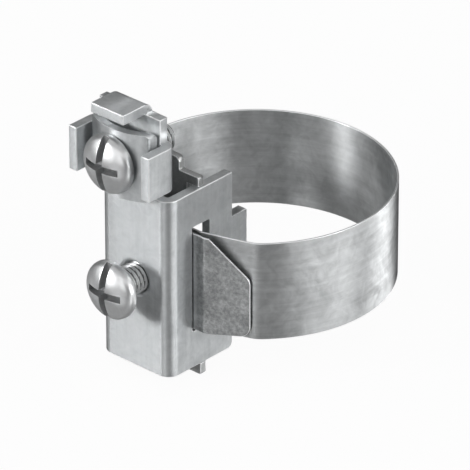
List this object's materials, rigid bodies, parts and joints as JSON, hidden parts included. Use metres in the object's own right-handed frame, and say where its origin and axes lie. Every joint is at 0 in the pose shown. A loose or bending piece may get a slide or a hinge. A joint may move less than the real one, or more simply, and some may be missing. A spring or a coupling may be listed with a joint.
{
  "type": "earthing pipe clamp",
  "caption": "Strap-type pipe clamp: a stamped channel body draws a steel strap round a pipe, with a screw terminal above it for an earthing conductor.",
  "frame": {"origin": "middle of the strap loop, on the pipe's axis and half-way up the strap", "axes": "+Z along the pipe towards the terminal, +Y from the clamp body towards the pipe, +X to the right seen from the screw heads"},
  "size_m": [0.0526, 0.0663, 0.0581],
  "materials": {
    "body_sheet": "zinc-plated steel sheet, softly mottled",
    "plate_steel": "plain zinc-plated steel",
    "strap_steel": "hot-dip coated strap with a cloudy bloom",
    "screw_steel": "bright zinc-plated screw"
  },
  "bodies": {
    "pipe_side": {"strap": "strap_steel", "pressure_plate": "plate_steel"},
    "body": {"clamp_body": "body_sheet"},
    "tension": {"tension_screw": "screw_steel"},
    "saddle": {"terminal_clamp": "body_sheet"},
    "terminal": {"terminal_screw": "screw_steel"}
  },
  "joints": [
    {"name": "tension_turn", "type": "hinge", "parent": "pipe_side", "child": "tension", "pos_m": [-0.0022, -0.03088, 0.0002], "axis": [0, 1, 0], "range_deg": [0, 900]},
    {"name": "body_draw", "type": "slide", "parent": "pipe_side", "child": "body", "axis": [0, -1, 0], "range_m": [0, 0.0025]},
    {"name": "saddle_travel", "type": "slide", "parent": "body", "child": "saddle", "axis": [0, 1, 0], "range_m": [-0.004, 0.0001]},
    {"name": "terminal_turn", "type": "hinge", "parent": "saddle", "child": "terminal", "pos_m": [-0.0022, -0.03088, 0.0264], "axis": [0, 1, 0], "range_deg": [-1440, 36]}
  ],
  "couplings": [
    {"joint": "tension_turn", "follows": "body_draw", "rad_per_m": 6283.2},
    {"joint": "terminal_turn", "follows": "saddle_travel", "rad_per_m": 6283.2}
  ]
}
